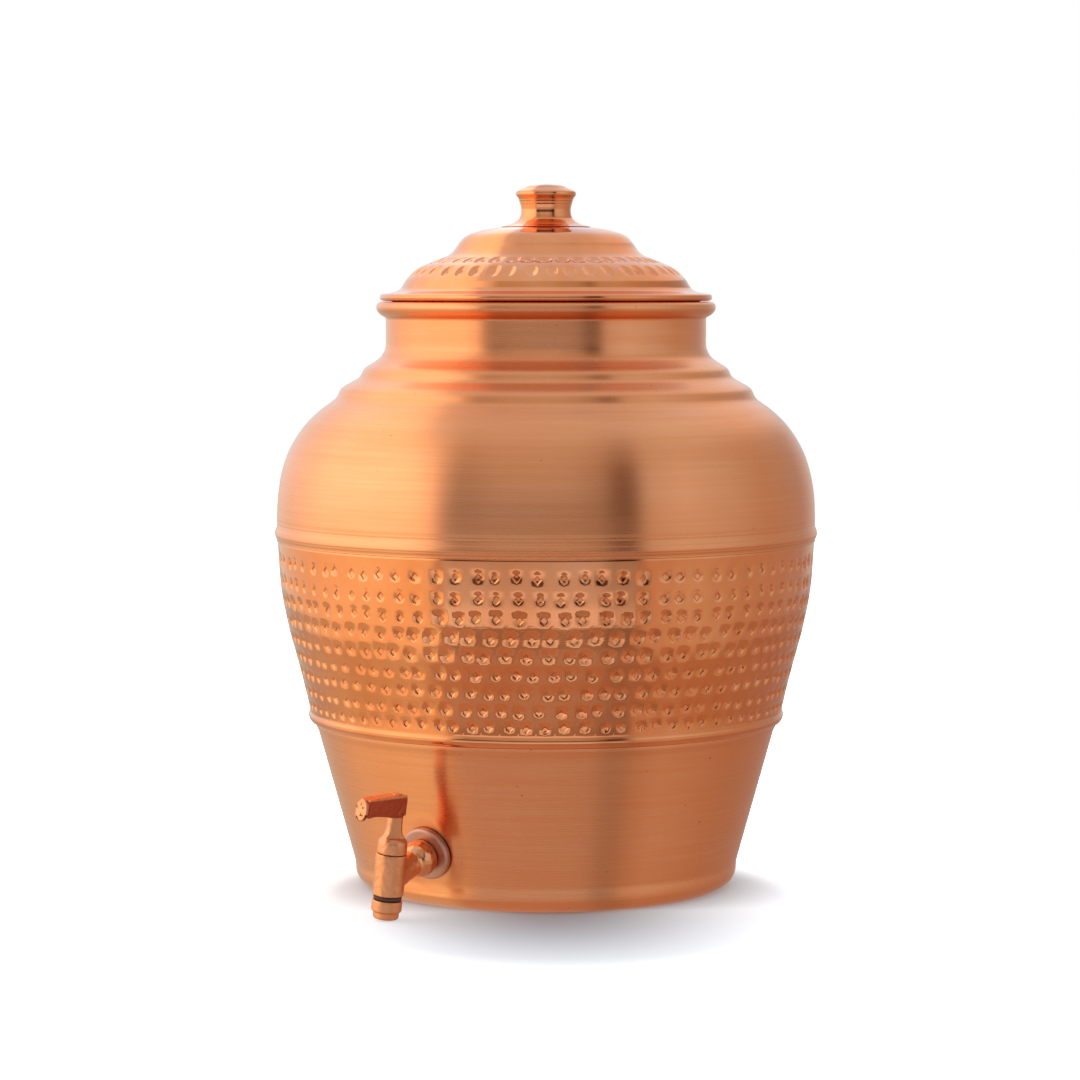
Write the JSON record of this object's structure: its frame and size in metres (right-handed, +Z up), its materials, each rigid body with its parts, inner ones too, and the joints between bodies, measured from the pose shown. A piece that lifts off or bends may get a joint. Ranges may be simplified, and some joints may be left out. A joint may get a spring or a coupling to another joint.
{
  "type": "lidded copper water pot with tap",
  "caption": "Round-bellied copper water pot with a hammered band, a lift-off domed lid with a turned knob, and a small lever tap near the base.",
  "frame": {"origin": "centre of the flat base, on the surface that the pot stands on", "axes": "+Z up along the pot's axis; -Y is the direction that the tap points in; +X is to the right of somebody facing the tap"},
  "size_m": [0.3, 0.3222, 0.3876],
  "materials": {
    "brushed_copper": "satin, brushed round the pot",
    "hammered_copper": "polished, hammered",
    "polished_copper": "polished",
    "copper_wire": "dull",
    "tap_copper": "copper plated casting, polished",
    "washer_copper": "dull plated",
    "turned_brass": "turned",
    "black_rubber": "matt"
  },
  "bodies": {
    "pot": {"upper_shell": "brushed_copper", "rim_wire": "copper_wire", "hammered_band": "hammered_copper", "lower_shell": "brushed_copper", "tap_body": "tap_copper", "tap_gasket_outer": "black_rubber", "tap_washer_outer": "washer_copper", "tap_gasket_inner": "black_rubber", "tap_washer_inner": "turned_brass", "tap_lock_nut": "turned_brass"},
    "lid": {"lid_shell": "polished_copper", "lid_edge_wire": "copper_wire", "lid_collar": "polished_copper", "lid_knob": "polished_copper", "knob_washer": "turned_brass", "knob_screw": "turned_brass"},
    "tap_key": {"tap_plug": "turned_brass", "plug_o_ring_lower": "black_rubber", "plug_o_ring_upper": "black_rubber", "tap_lever": "tap_copper", "nozzle_seal_ring": "black_rubber", "tap_nozzle": "tap_copper"}
  },
  "joints": [
    {"name": "lid_lift", "type": "slide", "parent": "pot", "child": "lid", "axis": [0, 0, 1], "range_m": [0, 0.1]},
    {"name": "tap_turn", "type": "hinge", "parent": "pot", "child": "tap_key", "pos_m": [-0.00024, -0.14582, 0.01999], "axis": [0.1219, 0, 0.9925], "range_deg": [-81, 99]}
  ]
}
